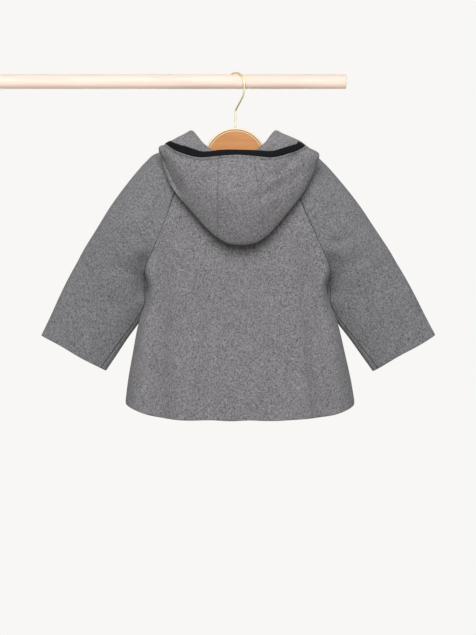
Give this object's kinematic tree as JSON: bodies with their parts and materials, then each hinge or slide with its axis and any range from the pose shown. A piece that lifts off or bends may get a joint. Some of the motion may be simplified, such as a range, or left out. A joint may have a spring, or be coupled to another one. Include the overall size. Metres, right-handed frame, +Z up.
{
  "type": "hooded coat on a hanger over a rod",
  "caption": "Small child's hooded wool coat with raglan sleeves, back outwards and hood down, on a domed wooden hanger hooked over a round rod.",
  "frame": {"origin": "on the rod's axis, straight above the hanger's shank, where the coat and hanger are held", "axes": "+Z up, +X along the rod towards its free end, the coat's back and hood face -Y and its buttons face +Y"},
  "size_m": [0.6735, 0.1405, 0.5206],
  "materials": {
    "wool": "felted grey melange wool",
    "binding": "matt black woven tape",
    "button": "satin black",
    "hanger_wood": "satin varnish",
    "rod_wood": "bare pale wood",
    "brass": "polished"
  },
  "bodies": {
    "root": {"back": "wool", "front_left": "wool", "front_right": "wool", "sleeve_left": "wool", "sleeve_right": "wool", "hood_centre": "wool", "hood_left": "wool", "hood_right": "wool", "hood_binding": "binding", "button_1": "button", "button_2": "button", "button_3": "button", "button_4": "button", "hanger": "hanger_wood", "hook": "brass", "rod": "rod_wood"}
  },
  "joints": []
}
